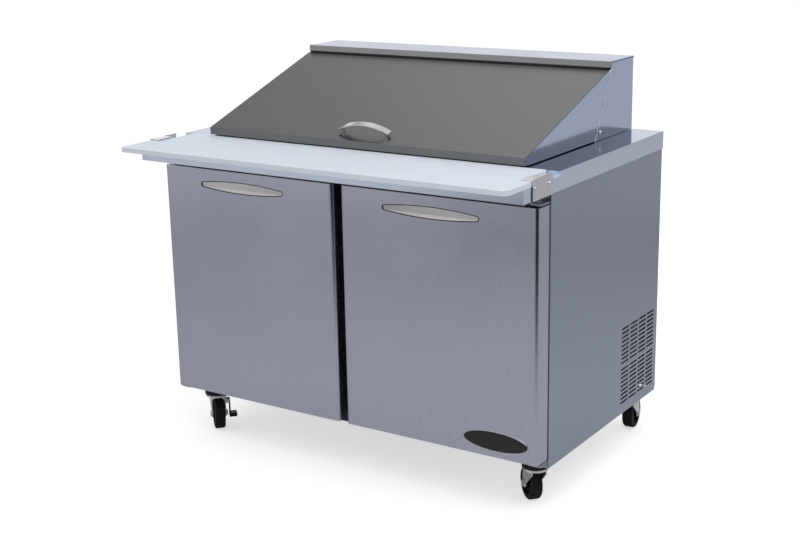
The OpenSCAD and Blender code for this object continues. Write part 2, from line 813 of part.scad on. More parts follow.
// Plan outline of a door, inset by t; x from the free edge, y from the front
module door_outline(t) {
    r = door_r - t;
    translate([t, door_r]) square([door_w - 2 * t, door_d - door_r]);
    translate([door_r, t]) square([door_w - 2 * door_r, door_d - t]);
    for (x = [door_r, door_w - door_r]) translate([x, door_r]) circle(r);
}

grip_end_r = 8;

// Lens outline of the grip, widened by t
module grip_outline(t) {
    h = grip_h / 2 + t;
    half = grip_l / 2 - grip_end_r;
    sag = grip_h / 2 - grip_end_r;
    r = (half * half + sag * sag) / (2 * sag) + t;
    intersection() {
        translate([0, h - r]) circle(r, $fn = 360);
        translate([0, r - h]) circle(r, $fn = 360);
        square([2 * half, 2 * h + 2], center = true);
    }
    // the round ends stand a little proud so that each arc runs into them at one clear point
    for (s = [-1, 1]) translate([s * half, 0]) circle(grip_end_r + t + 0.1);
}

// The grip's prism, moved by dx from the door's middle, from depth y0 to y1 behind its front
module grip_prism(dx, t, y0, y1) {
    translate([door_x0 + door_w / 2 + dx, door_y0 + y1, grip_z]) rotate([90, 0, 0])
        linear_extrude(y1 - y0) grip_outline(t);
}

// Outer skin of the right door: a tray open to the back, with its grip moved by dx
module door_skin(dx) {
    color(steel) difference() {
        translate([door_x0, door_y0, door_z0]) difference() {
            linear_extrude(door_h) door_outline(0);
            translate([0, 0, sheet]) linear_extrude(door_h - 2 * sheet) difference() {
                door_outline(sheet);
                translate([0, door_d]) square([door_w, 1]);
            }
            translate([-1, door_d - 0.001, -1]) cube([door_w + 2, 5, door_h + 2]);
            translate([sheet, door_d - 10, sheet]) cube([door_w - 2 * sheet, 20, door_h - 2 * sheet]);
        }
        grip_prism(dx, 0, -1, 5);
        translate([pin_x, pin_y, door_z0 - 1]) cylinder(h = door_h + 2, r = pin_r + 3);
    }
}

// Inner panel of the right door: a tray open to the front, with the hinge bushings
module door_inner() {
    t = 2.5;
    x0 = door_x0 + sheet + slack;
    x1 = door_x1 - sheet - slack;
    z0 = door_z0 + sheet + slack;
    z1 = door_z1 - sheet - slack;
    color([0.88, 0.89, 0.9]) difference() {
        union() {
            difference() {
                span([x0, door_y0 + 12, z0], [x1, door_y1 + 0.5, z1]);
                span([x0 + t, door_y0 + 11, z0 + t], [x1 - t, door_y1 + 0.5 - t, z1 - t]);
            }
            for (z = [z0, z1 - 30])
                span([pin_x - 12, door_y0 + 18, z], [x1 - 0.5, door_y1 - 1, z + 30]);
        }
        // shallow field pressed into the panel
        span([x0 + 60, door_y1 - 1, z0 + 60], [x1 - 60, door_y1 + 2, z1 - 60]);
        for (z = [z0 - 1, z1 - 24])
            translate([pin_x, pin_y, z]) cylinder(h = 25, r = pin_r + pin_fit);
    }
}

grip_rim = 2.4;

// Recessed grip of the right door: a dished cup behind the skin's opening
module door_grip(dx) {
    // the hollow's depth at its middle and the radius that gives it over the grip's length
    dish = 15;
    scoop_r = (grip_l * grip_l / 4 + dish * dish) / (2 * dish);
    color([0.78, 0.77, 0.74]) difference() {
        union() {
            grip_prism(dx, 4, sheet + 0.05, 3.2);
            grip_prism(dx, 1.5, sheet + 0.05, 20);
        }
        intersection() {
            grip_prism(dx, -grip_rim, -2, 30);
            translate([door_x0 + door_w / 2 + dx, door_y0 + 3 + dish - scoop_r, grip_z - 50])
                cylinder(h = 100, r = scoop_r, $fn = 360);
        }
    }
}

// Magnetic gasket of the right door, a frame of four strips
module door_gasket() {
    w = 15;
    x0 = door_x0 + 3;
    x1 = pin_x - 3;
    z0 = door_z0 + 12;
    z1 = door_z1 - 10;
    color(dark) difference() {
        span([x0, door_y1 + 0.6, z0], [x1, y_face - slack, z1]);
        span([x0 + w, door_y1, z0 + w], [x1 - w, y_face, z1 - w]);
        span([x0 + 5, door_y1 + 4, z0 + 5], [x1 - 5, door_y1 + 5, z1 - 5]);
    }
}

module door_left_skin() {
    mirror([1, 0, 0]) door_skin(grip_shift);
}

module door_left_inner() {
    mirror([1, 0, 0]) door_inner();
}

module door_left_grip() {
    mirror([1, 0, 0]) door_grip(grip_shift);
}

module door_left_gasket() {
    mirror([1, 0, 0]) door_gasket();
}

module door_right_skin() {
    door_skin(-grip_shift);
}

module door_right_inner() {
    door_inner();
}

module door_right_grip() {
    door_grip(-grip_shift);
}

module door_right_gasket() {
    door_gasket();
}

badge = [490, door_z0 + 45];
badge_w = 190;
badge_h = 52;

module oval(w, h) {
    polygon([for (i = [0 : 71]) [w / 2 * cos(i * 5), h / 2 * sin(i * 5)]]);
}

// Plain oval plate with a raised rim
module door_badge() {
    color([0.1, 0.1, 0.1]) translate([badge[0], door_y0 - 0.05, badge[1]]) rotate([90, 0, 0])
        difference() {
            linear_extrude(2.4) oval(badge_w, badge_h);
            translate([0, 0, 1.6]) linear_extrude(2) oval(badge_w - 6, badge_h - 6);
        }
}

hinge_arm = 6;
hinge_top_z = door_z1 + 3;
hinge_low_z = door_z0 - 3 - hinge_arm;

// Hinge plates at the outer corners, each with its pin into the door
module door_hinge_brackets() {
    x0 = pin_x - 26;
    x1 = door_x1 - 1;
    plate_y = y_face - sheet - 3.3;
    color([0.75, 0.76, 0.78]) both_sides() {
        // top plate and pin
        hinge_plate(x0, x1, hinge_top_z);
        span([x0, plate_y, hinge_top_z], [x1, plate_y + 3, apron_z - 1]);
        translate([pin_x, pin_y, hinge_top_z - 22]) cylinder(h = 24, r = pin_r);
        translate([pin_x, pin_y, hinge_top_z + hinge_arm - 1]) cylinder(h = 6, r = 8, $fn = 6);
        // lower plate and pin
        hinge_plate(x0, x1, hinge_low_z);
        span([x0, plate_y, base_z + 1], [x1, plate_y + 3, hinge_low_z + hinge_arm]);
        translate([pin_x, pin_y, hinge_low_z]) cylinder(h = hinge_arm + 22, r = pin_r);
        translate([pin_x, pin_y, hinge_low_z + hinge_arm - 1]) cylinder(h = 3, r = 9);
    }
}

// A hinge plate from the face frame out to a round nose about the pin
module hinge_plate(x0, x1, z) {
    translate([0, 0, z]) linear_extrude(hinge_arm) {
        translate([x0, pin_y]) square([x1 - x0, y_face - sheet - 0.3 - pin_y]);
        translate([x0 + 12, pin_y - 17]) square([x1 - x0 - 12, 18]);
        translate([x0 + 12, pin_y]) circle(12);
    }
}

// ---------- board ----------

wing_y = y_board + 129;
notch_x = 584;

// Board with a full-width front and a narrower rear between the brackets
module cutting_board() {
    z = shelf_z + 0.05;
    color([0.95, 0.95, 0.96]) translate([0, 0, z]) linear_extrude(board_t) {
        r = 18;
        q = 8;
        translate([-notch_x, wing_y - 20]) square([2 * notch_x, board_d - 129 + 20 - q]);
        translate([-notch_x + q, wing_y]) square([2 * notch_x - 2 * q, board_d - 129]);
        for (s = [-1, 1]) translate([s * (notch_x - q), y_board + board_d - q]) circle(q);
        translate([-board_l / 2, y_board + r]) square([board_l, 129 - r - q]);
        translate([-board_l / 2 + r, y_board]) square([board_l - 2 * r, 129]);
        for (s = [-1, 1]) {
            translate([s * (board_l / 2 - r), y_board + r]) circle(r);
            translate([s * (board_l / 2 - q), wing_y - q]) circle(q);
            translate([s * (board_l / 2 - r / 2 - q) - r / 2, wing_y - q - 1]) square([r, q + 1]);
        }
    }
}

bracket_y = [y_face - 110, y_face - 5];
bracket_screw_y = [y_face - 99, y_face - 23];
bracket_screw_z = counter_z - 19;

// End plates on the apron, each with a saddle that drops into the board's notch
module board_brackets() {
    x0 = hw + 0.05;
    x1 = x0 + 3;
    saddle_x = notch_x + 5;
    saddle_y1 = bracket_y[0] + 52;
    top = counter_z + 5;
    color(steel) both_sides() difference() {
        union() {
            span([x0, bracket_y[0], apron_z], [x1, bracket_y[1], top]);
            span([saddle_x, bracket_y[0], top - 3], [x1, saddle_y1, top]);
            span([saddle_x, bracket_y[0], shelf_z + 1.5], [saddle_x + 3, saddle_y1, top]);
        }
        for (y = bracket_screw_y) rod_x(y, bracket_screw_z, x0 - 1, x1 + 1, SCREW_R + 0.2);
    }
}

// A pan-head screw along +Z, its head's underside at z = 0 and its shank below
module screw(shank) {
    rotate_extrude() {
        square([SCREW_HEAD_R, 1.6]);
        translate([0, 1.6]) square([SCREW_HEAD_R - 1.2, 0.9]);
        translate([0, -shank]) square([SCREW_R, shank + 0.5]);
    }
}

module screws() {
    color(steel) {
        for (s = [-1, 1], y = bracket_screw_y)
            translate([s * (hw + 3.1), y, bracket_screw_z]) rotate([0, s * 90, 0]) screw(8);
        for (s = [-1, 1])
            translate([s * (hood_x + 0.05), hood_screw[0], hood_screw[1]]) rotate([0, s * 90, 0]) screw(6);
        for (x = cover_screw_x, z = cover_screw_z)
            rod_y(x, z, y_back - 8, y_back - 0.1, SCREW_R);
    }
}

// ---------- casters ----------

module each_caster() {
    for (x = [-1, 1], y = caster_y) translate([x * caster_x, y, 0]) children();
}

// Top plate with its bolts and the kingpin that the fork turns on
module caster_plates() {
    color([0.75, 0.75, 0.77]) each_caster() {
        translate([0, 0, base_z - 3]) linear_extrude(2.95) round_rect(86, 76, 8);
        for (x = [-1, 1], y = [-1, 1]) translate([x * bolt_dx, y * bolt_dy, base_z - 7]) {
            cylinder(h = 5, r = 7, $fn = 6);
            cylinder(h = 8.8, r = 4);
        }
        translate([0, 0, crown_z0 - 4]) cylinder(h = base_z - 2 - crown_z0 + 4, r = 6);
        translate([0, 0, crown_z0 - 4.3]) cylinder(h = 4, r = 9, $fn = 6);
    }
}

// Dark ball-race cups between the plates and the forks
module caster_raceways() {
    lower_h = 9;
    color(dark) each_caster() translate([0, 0, raceway_z0 + slack]) difference() {
        union() {
            cylinder(h = lower_h, r = 36.5);
            cylinder(h = base_z - 3 - raceway_z0 - 2 * slack, r = 31);
        }
        translate([0, 0, -1]) cylinder(h = 30, r = 6.4);
    }
}

// Outline of a fork leg: x along the trail, y up
module leg_outline() {
    polygon([[-29, crown_z0 + 5], [-29, crown_z0 - 8], [trail - 12, wheel_r + 2],
        [trail + 12, wheel_r + 2], [32, crown_z0 - 4], [32, crown_z0 + 5]]);
    translate([trail, wheel_r]) circle(12.4);
}

leg_v = wheel_w / 2 + 3;

// Fork with its axle bolt; x along the trail, y along the axle
module fork() {
    color([0.72, 0.72, 0.74]) difference() {
        union() {
            translate([0, 0, crown_z0]) cylinder(h = 7, r = 34);
            for (s = [-1, 1]) translate([0, s * (leg_v + 1.5) + 1.5, 0]) rotate([90, 0, 0])
                linear_extrude(3) leg_outline();
        }
        translate([0, 0, crown_z0 - 1]) cylinder(h = 10, r = 6.06);
        rod_y(trail, wheel_r, -leg_v - 5, leg_v + 5, axle_r + 0.1);
    }
    color([0.5, 0.5, 0.52]) {
        rod_y(trail, wheel_r, -leg_v - 3.1, leg_v + 8, axle_r);
        translate([trail, leg_v + 3.05 + 5, wheel_r]) rotate([90, 0, 0]) cylinder(h = 5, r = 9, $fn = 6);
        translate([trail, -leg_v - 3.05, wheel_r]) rotate([90, 0, 0]) cylinder(h = 4, r = 9, $fn = 6);
    }
}

// Wheel with a rounded tread and dished faces
module wheel() {
    bore = axle_r + 0.06;
    hub = leg_v - 0.6;
    color(dark) translate([trail, 0, wheel_r]) rotate([90, 0, 0]) difference() {
        rotate_extrude($fn = 96) {
            translate([wheel_r - 14, -wheel_w / 2]) square([14 - tread_r, wheel_w]);
            translate([wheel_r - 14, -wheel_w / 2 + tread_r]) square([14, wheel_w - 2 * tread_r]);
            for (s = [-1, 1]) translate([wheel_r - tread_r, s * (wheel_w / 2 - tread_r)]) circle(tread_r);
            translate([0, -wheel_w / 4]) square([wheel_r - 13, wheel_w / 2]);
            translate([0, -hub]) square([14, 2 * hub]);
        }
        cylinder(h = 100, r = bore, center = true);
    }
}

// Places children in the frame of caster number i
module at_caster(i) {
    x = i % 2 == 0 ? -caster_x : caster_x;
    y = i < 2 ? caster_y[0] : caster_y[1];
    translate([x, y, 0]) rotate([0, 0, swivel_turn[i]]) children();
}

pedal_v = leg_v + 14;
pedal_z = wheel_r + 30;

// Side brake pedal, which tips down about a pin along the trail
module brake_pedal() {
    color(dark) difference() {
        union() {
            span([trail - 36, pedal_v - 5, pedal_z - 5], [trail - 16, pedal_v + 5, pedal_z + 5]);
            span([trail - 33, pedal_v + 1, pedal_z - 42], [trail - 19, pedal_v + 5, pedal_z]);
            span([trail - 37, pedal_v + 1, pedal_z - 52], [trail - 12, pedal_v + 24, pedal_z - 40]);
        }
        rod_x(pedal_v, pedal_z, trail - 40, trail - 10, 3.06);
    }
}

// Ears on the fork that hold the pedal's pin
module pedal_mount() {
    color([0.72, 0.72, 0.74]) {
        for (x = [trail - 40, trail - 15.5])
            span([x, leg_v + 2, pedal_z - 5], [x + 3.5, pedal_v + 4, pedal_z + 5]);
        rod_x(pedal_v, pedal_z, trail - 39, trail - 13, 3);
    }
}

module caster_fork_front_left() {
    at_caster(0) {
        fork();
        pedal_mount();
    }
}

module caster_fork_front_right() {
    at_caster(1) fork();
}

module caster_fork_rear_left() {
    at_caster(2) {
        fork();
        pedal_mount();
    }
}

module caster_fork_rear_right() {
    at_caster(3) fork();
}

module caster_wheel_front_left() {
    at_caster(0) wheel();
}

module caster_wheel_front_right() {
    at_caster(1) wheel();
}

module caster_wheel_rear_left() {
    at_caster(2) wheel();
}

module caster_wheel_rear_right() {
    at_caster(3) wheel();
}

module brake_pedal_front_left() {
    at_caster(0) brake_pedal();
}

module brake_pedal_rear_left() {
    at_caster(2) brake_pedal();
}

side_panel_left();
side_panel_right();
back_panel();
rear_service_cover();
base_panel();
machine_bay_walls();
foam_insulation();
interior_liner();
face_frame();
centre_mullion();
countertop();
divider_bars();
food_pans();
wire_shelves();
shelf_supports();
evaporator_cover();
evaporator_coil();
evaporator_fan();
thermostat_knob();
compressor();
condenser_coil();
fan_shroud();
condenser_fan();
control_box();
power_inlet();
hood_shell();
hood_cap();
hood_seal();
hood_hinge_leaf();
lid_hinge_leaf();
lid_hinge_pin();
lid_panel();
lid_cheeks();
lid_inner_panel();
lid_handle();
door_left_skin();
door_left_inner();
door_left_grip();
door_left_gasket();
door_right_skin();
door_right_inner();
door_right_grip();
door_right_gasket();
door_badge();
door_hinge_brackets();
cutting_board();
board_brackets();
screws();
caster_plates();
caster_raceways();
caster_fork_front_left();
caster_fork_front_right();
caster_fork_rear_left();
caster_fork_rear_right();
caster_wheel_front_left();
caster_wheel_front_right();
caster_wheel_rear_left();
caster_wheel_rear_right();
brake_pedal_front_left();
brake_pedal_rear_left();
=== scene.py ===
"""Looks of the two-door sandwich prep table: materials, Blender-made pieces, studio and camera."""

import json
from math import cos, pi, radians, sin

import bmesh
import bpy
from mathutils import Matrix, Vector


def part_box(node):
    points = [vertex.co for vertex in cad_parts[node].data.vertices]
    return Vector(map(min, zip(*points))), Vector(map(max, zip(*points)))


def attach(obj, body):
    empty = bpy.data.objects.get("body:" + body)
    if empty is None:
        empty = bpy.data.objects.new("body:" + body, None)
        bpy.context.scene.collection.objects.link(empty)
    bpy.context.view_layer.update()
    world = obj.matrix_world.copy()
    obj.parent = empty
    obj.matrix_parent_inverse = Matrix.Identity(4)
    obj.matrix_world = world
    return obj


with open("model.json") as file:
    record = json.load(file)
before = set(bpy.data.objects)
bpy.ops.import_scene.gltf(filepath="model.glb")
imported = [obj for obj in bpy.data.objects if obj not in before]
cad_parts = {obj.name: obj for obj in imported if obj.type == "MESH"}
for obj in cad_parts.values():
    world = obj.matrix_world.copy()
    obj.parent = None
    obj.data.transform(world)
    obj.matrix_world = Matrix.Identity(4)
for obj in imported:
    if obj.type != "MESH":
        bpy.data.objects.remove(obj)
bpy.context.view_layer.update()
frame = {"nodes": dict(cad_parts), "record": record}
nodes = frame["nodes"]
MM = 0.001


# ---------------------------------------------------------------- shader helpers


class Shader:
    """A node material: one Principled shader and the textures that drive it."""

    def __init__(self, name, **constants):
        self.material = bpy.data.materials.new(name)
        self.material.use_nodes = True
        self.tree = self.material.node_tree
        self.surface = self.tree.nodes["Principled BSDF"]
        self.place = self.node("TexCoord").outputs["Object"]
        for socket, value in constants.items():
            self.surface.inputs[socket.replace("_", " ")].default_value = value

    def node(self, kind, settings=None, **inputs):
        made = self.tree.nodes.new("ShaderNode" + kind)
        for key, value in (settings or {}).items():
            setattr(made, key, value)
        for key, value in inputs.items():
            self.feed(made.inputs[key.replace("_", " ")], value)
        return made

    def feed(self, socket, value):
        if isinstance(value, bpy.types.NodeSocket):
            self.tree.links.new(value, socket)
        else:
            socket.default_value = value

    def drive(self, socket, value):
        self.tree.links.new(value, self.surface.inputs[socket])

    def noise(self, scale, detail=3.0, stretch=(1, 1, 1), roughness=0.5):
        place = self.node("Mapping", Vector=self.place, Scale=stretch).outputs["Vector"]
        made = self.node("TexNoise", Vector=place, Scale=scale, Detail=detail, Roughness=roughness)
        return made.outputs["Fac"]

    def remap(self, value, low, high, to_low, to_high):
        made = self.node("MapRange", Value=value, From_Min=low, From_Max=high,
                         To_Min=to_low, To_Max=to_high)
        return made.outputs["Result"]

    def math(self, operation, a, b):
        made = self.node("Math", {"operation": operation})
        self.feed(made.inputs[0], a)
        self.feed(made.inputs[1], b)
        return made.outputs["Value"]

    def mix(self, factor, a, b):
        made = self.node("Mix", {"data_type": "RGBA"})
        self.feed(made.inputs[0], factor)
        self.feed(made.inputs[6], rgba(a))
        self.feed(made.inputs[7], rgba(b))
        return made.outputs[2]

    def bump(self, height, distance, strength=1.0, normal=None):
        made = self.node("Bump", Height=height, Distance=distance, Strength=strength)
        if normal:
            self.tree.links.new(normal, made.inputs["Normal"])
        return made.outputs["Normal"]

    def scale(self, colour, factor):
        made = self.node("VectorMath", {"operation": "SCALE"})
        self.feed(made.inputs[0], colour)
        self.feed(made.inputs["Scale"], factor)
        return made.outputs["Vector"]

    def below(self, axis, limit, tone, other):
        """tone where the object's own coordinate is below the limit, other above it."""
        along = self.node("SeparateXYZ", Vector=self.place).outputs[axis]
        return self.mix(self.math("LESS_THAN", along, limit), other, tone)

    def edges(self, radius, low=0.02, high=0.25):
        """0 on flat ground and 1 on edges: how far a rounded normal leans from the true one."""
        rounded = self.node("Bevel", {"samples": 4}, Radius=radius).outputs["Normal"]
        true = self.node("NewGeometry").outputs["Normal"]
        dot = self.node("VectorMath", {"operation": "DOT_PRODUCT"})
        self.feed(dot.inputs[0], rounded)
        self.feed(dot.inputs[1], true)
        return self.remap(dot.outputs["Value"], 1 - low, 1 - high, 0.0, 1.0)


def rgba(colour):
    if isinstance(colour, bpy.types.NodeSocket) or len(colour) == 4:
        return colour
    return (*colour, 1.0)


def scaled(colour, factor):
    return tuple(min(1.0, c * factor) for c in colour)


# ---------------------------------------------------------------- materials

GRAIN = {"X": (0.012, 1, 1), "Y": (1, 0.012, 1), "Z": (1, 1, 0.012)}


def brushed(name, tone, grain, rough, spread=0.02, depth=0.02 * MM, shaded=None, streaks=0.15):
    """Brushed sheet: fine scratches along the grain, soft streaks, wipe marks and bright worn edges.

    shaded is an axis, a limit and a tone of painted light and shade for the part of the sheet below that
    limit.
    """
    m = Shader(name, Metallic=1.0)
    scratch = m.noise(2600, 2, GRAIN[grain])
    streak = m.noise(60, 3, GRAIN[grain])
    wipe = m.noise(3.2, 4, roughness=0.6)
    shade = m.math("ADD", m.math("MULTIPLY", streak, 0.5), m.math("MULTIPLY", wipe, 0.5))
    drift = m.remap(shade, 0.35, 0.65, 1 - spread, 1 + spread)
    body = m.scale(m.below(*shaded, tone) if shaded else tone, drift)
    worn = m.edges(0.9 * MM)
    m.drive("Base Color", m.mix(m.math("MULTIPLY", worn, 0.3), body, scaled(tone, 1.4)))
    rub = m.remap(m.math("ADD", scratch, wipe), 0.7, 1.3, rough - 0.05, rough + 0.07)
    m.drive("Roughness", m.math("MULTIPLY", rub, m.remap(worn, 0.0, 1.0, 1.0, 0.8)))
    m.drive("Normal", m.bump(scratch, depth, 0.5, m.bump(streak, 0.05 * MM, streaks)))
    return m.material


def plated(name, tone, rough, spangle=40.0):
    """Zinc plate: a faint crystal pattern, dull spots and bright edges."""
    m = Shader(name, Metallic=1.0)
    cell = m.node("TexVoronoi", Vector=m.place, Scale=spangle).outputs["Color"]
    grey = m.node("SeparateColor", Color=cell).outputs["Red"]
    dull = m.noise(90, 4)
    worn = m.edges(0.8 * MM)
    body = m.mix(grey, scaled(tone, 0.9), scaled(tone, 1.06))
    m.drive("Base Color", m.mix(m.math("MULTIPLY", worn, 0.4), body, scaled(tone, 1.3)))
    spots = m.math("ADD", dull, m.math("MULTIPLY", grey, 0.3))
    m.drive("Roughness", m.remap(spots, 0.4, 0.9, rough, rough + 0.2))
    m.drive("Normal", m.bump(dull, 0.03 * MM))
    return m.material


def moulded(name, tone, rough, grain_scale=1400.0, depth=0.03 * MM, worn_to=1.25, **constants):
    """Moulded plastic or rubber: pebbled skin, uneven sheen and rubbed edges."""
    m = Shader(name, **constants)
    pebble = m.noise(grain_scale, 2)
    cloud = m.noise(14, 4)
    worn = m.edges(1.0 * MM)
    body = m.mix(cloud, scaled(tone, 0.88), scaled(tone, 1.12))
    m.drive("Base Color", m.mix(m.math("MULTIPLY", worn, 0.5), body, scaled(tone, worn_to)))
    m.drive("Roughness", m.remap(cloud, 0.3, 0.7, rough - 0.06, rough + 0.08))
    m.drive("Normal", m.bump(pebble, depth))
    return m.material


def chopping_board(name, tone):
    """White polyethylene: fine pebble, faint knife marks one way and the other, a little translucent."""
    m = Shader(name, IOR=1.5, Subsurface_Weight=0.15, Subsurface_Scale=0.004)
    m.surface.inputs["Subsurface Radius"].default_value = (1.0, 0.9, 0.8)
    pebble = m.noise(900, 3)
    across = m.remap(m.noise(500, 1, (0.03, 1, 1)), 0.62, 0.72, 0.0, 1.0)
    along = m.remap(m.noise(420, 1, (1, 0.04, 1)), 0.64, 0.74, 0.0, 1.0)
    use = m.remap(m.noise(5, 2), 0.5, 0.7, 0.0, 1.0)
    cuts = m.math("MULTIPLY", m.math("MAXIMUM", across, along), use)
    worn = m.edges(1.6 * MM)
    body = m.mix(m.noise(9, 3), scaled(tone, 0.97), scaled(tone, 1.03))
    marked = m.mix(m.math("MULTIPLY", cuts, 0.12), body, scaled(tone, 0.72))
    m.drive("Base Color", m.mix(m.math("MULTIPLY", worn, 0.3), marked, scaled(tone, 1.1)))
    m.drive("Roughness", m.remap(m.noise(30, 3), 0.3, 0.7, 0.38, 0.52))
    height = m.math("SUBTRACT", m.math("MULTIPLY", pebble, 0.25), cuts)
    m.drive("Normal", m.bump(height, 0.06 * MM))
    return m.material


def enamel(name, tone, rough):
    """Sprayed or dipped paint: orange peel, dust in the sheen, thin spots at the edges."""
    m = Shader(name)
    skin = m.noise(220, 2)
    dust = m.noise(25, 5)
    worn = m.edges(0.8 * MM)
    body = m.mix(dust, scaled(tone, 0.9), scaled(tone, 1.1))
    m.drive("Base Color", m.mix(m.math("MULTIPLY", worn, 0.35), body, scaled(tone, 1.3)))
    m.drive("Roughness", m.remap(dust, 0.3, 0.7, rough - 0.05, rough + 0.12))
    m.drive("Normal", m.bump(skin, 0.06 * MM, 0.5))
    return m.material


def fins(name, tone):
    """Coil block: close fins across X, darker in the gaps between them where a noise runs high."""
    m = Shader(name, Metallic=0.9)
    wave = m.node("TexWave", {"wave_type": "BANDS", "bands_direction": "X", "wave_profile": "SIN"},
                  Vector=m.place, Scale=95.0, Distortion=0.2, Detail=1.0)
    gap = wave.outputs["Fac"]
    fin_noise = m.noise(12, 4)
    m.drive("Base Color", m.mix(m.math("MULTIPLY", gap, fin_noise), tone, scaled(tone, 0.35)))
    m.drive("Roughness", m.remap(fin_noise, 0.3, 0.7, 0.35, 0.6))
    m.drive("Normal", m.bump(gap, 0.8 * MM))
    return m.material


def foam(name, tone):
    """Poured foam: small open cells and yellowed patches."""
    m = Shader(name, Roughness=0.9)
    cells = m.node("TexVoronoi", Vector=m.place, Scale=600.0).outputs["Distance"]
    m.drive("Base Color", m.mix(m.noise(6, 4), scaled(tone, 0.85), scaled(tone, 1.08)))
    m.drive("Normal", m.bump(cells, 0.5 * MM))
    return m.material


# painted light and shade: the hood cap's front fascia and the counter's apron get darker and lighter tones
# than their tops, standing in for how they reflect the light
cap_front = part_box("hood_cap")[0].y + 2 * MM
apron_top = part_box("countertop")[1].z - 1 * MM
# door, panel, counter, lid, hood and cap are one stainless steel: their lighter and darker tones are painted
# light and shade, set by how each part faces the light
finishes = {
    "panel_steel": brushed("panel_steel", (0.45, 0.50, 0.58), "Z", 0.26, 0.012, streaks=0.05),
    "door_steel": brushed("door_steel", (0.59, 0.61, 0.70), "Z", 0.24, 0.012, streaks=0.06),
    "counter_steel": brushed("counter_steel", (0.40, 0.46, 0.59), "X", 0.14,
                             shaded=("Z", apron_top, (0.79, 0.87, 0.99))),
    "lid_steel": brushed("lid_steel", (0.18, 0.18, 0.18), "X", 0.24),
    "hood_steel": brushed("hood_steel", (0.70, 0.79, 0.98), "Z", 0.13),
    "cap_steel": brushed("cap_steel", (0.32, 0.37, 0.49), "X", 0.18,
                         shaded=("Y", cap_front, (0.38, 0.38, 0.38))),
    "inner_steel": brushed("inner_steel", (0.52, 0.53, 0.55), "X", 0.36),
    "grip_steel": brushed("grip_steel", (0.78, 0.76, 0.74), "X", 0.29),
    "pan_steel": brushed("pan_steel", (0.62, 0.63, 0.65), "Z", 0.20),
    "zinc": plated("zinc", (0.92, 0.92, 0.90), 0.38),
    "chrome": brushed("chrome", (0.62, 0.63, 0.64), "X", 0.08, 0.02, 0.004 * MM),
    "galvanised": plated("galvanised", (0.50, 0.52, 0.54), 0.38, 55.0),
    "white_wire": enamel("white_wire", (0.78, 0.79, 0.80), 0.3),
    "black_paint": enamel("black_paint", (0.010, 0.010, 0.012), 0.4),
    "coil_metal": fins("coil_metal", (0.55, 0.57, 0.60)),
    "foam": foam("foam", (0.80, 0.68, 0.40)),
    "white_plastic": moulded("white_plastic", (0.74, 0.76, 0.78), 0.40, worn_to=1.1),
    "board_plastic": chopping_board("board_plastic", (0.74, 0.80, 0.88)),
    "black_plastic": moulded("black_plastic", (0.010, 0.010, 0.011), 0.45, worn_to=2.0,
                             Specular_IOR_Level=0.3),
    "badge_plastic": moulded("badge_plastic", (0.012, 0.012, 0.010), 0.25, 300.0, 0.01 * MM, 1.5),
    "rubber": moulded("rubber", (0.010, 0.010, 0.011), 0.65, worn_to=1.8, Specular_IOR_Level=0.25),
    "tread": moulded("tread", (0.008, 0.008, 0.008), 0.50, worn_to=2.4, Specular_IOR_Level=0.25),
}

slot_of = {part["node"]: part["material_slot"] for part in frame["record"]["subparts"]}

# nodes that get tones apart from the rest of their slot: painted shadow on the hinge leaves and pin, painted
# shade on the door hinge brackets, and a lighter steel on the board brackets
bracket_steel = brushed("bracket_steel", (0.86, 0.86, 0.87), "X", 0.30)
# painted shadow: near-black hinge leaves and pin stand for the dark shade line between the hood's fascia and
# the lid
hinge_shadow_black = brushed("hinge_shadow_black", (0.030, 0.030, 0.032), "X", 0.45)
# painted shade: the door hinge brackets get a darker steel than their slot, for the shade they sit in under
# the board
hinge_bracket_shade_steel = brushed("hinge_bracket_shade_steel", (0.33, 0.36, 0.42), "X", 0.30)
own_finish = {
    "board_brackets": bracket_steel,
    "hood_hinge_leaf": hinge_shadow_black,
    "lid_hinge_leaf": hinge_shadow_black,
    "lid_hinge_pin": hinge_shadow_black,
    "door_hinge_brackets": hinge_bracket_shade_steel,
}


def finish(obj, slot):
    if not obj.material_slots:
        obj.data.materials.append(None)
    for held in obj.material_slots:
        held.material = own_finish.get(obj.name, finishes[slot])


for name, obj in nodes.items():
    finish(obj, slot_of[name])


# ---------------------------------------------------------------- soft edges on the CAD pieces


def soften(obj, width, segments, angle=40):
    """Joins the doubled corner points of a CAD mesh, rounds its edges and evens its normals."""
    obj.modifiers.new("join", "WELD").merge_threshold = 0.02 * MM
    bevel = obj.modifiers.new("edge", "BEVEL")
    bevel.width = width
    bevel.segments = segments
    bevel.limit_method = "ANGLE"
    bevel.angle_limit = radians(angle)
    bevel.use_clamp_overlap = True
    even = obj.modifiers.new("even", "WEIGHTED_NORMAL")
    even.keep_sharp = True


# each node's edge radius in millimetres and how many steps it is rounded in
EDGE = {
    "cutting_board": (2.0, 3), "lid_handle": (0.6, 2), "door_badge": (0.8, 3),
    "door_left_skin": (0.8, 2), "door_right_skin": (0.8, 2),
    "hood_cap": (1.0, 2), "hood_shell": (0.5, 2), "lid_panel": (0.5, 2),
    "side_panel_left": (0.5, 2), "side_panel_right": (0.5, 2),
}
for name, (width, segments) in EDGE.items():
    soften(nodes[name], width * MM, segments)


# ---------------------------------------------------------------- Blender-made pieces


def linked(name, mesh, slot, body):
    obj = bpy.data.objects.new(name, mesh)
    bpy.context.scene.collection.objects.link(obj)
    finish(obj, slot)
    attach(obj, body)
    return obj


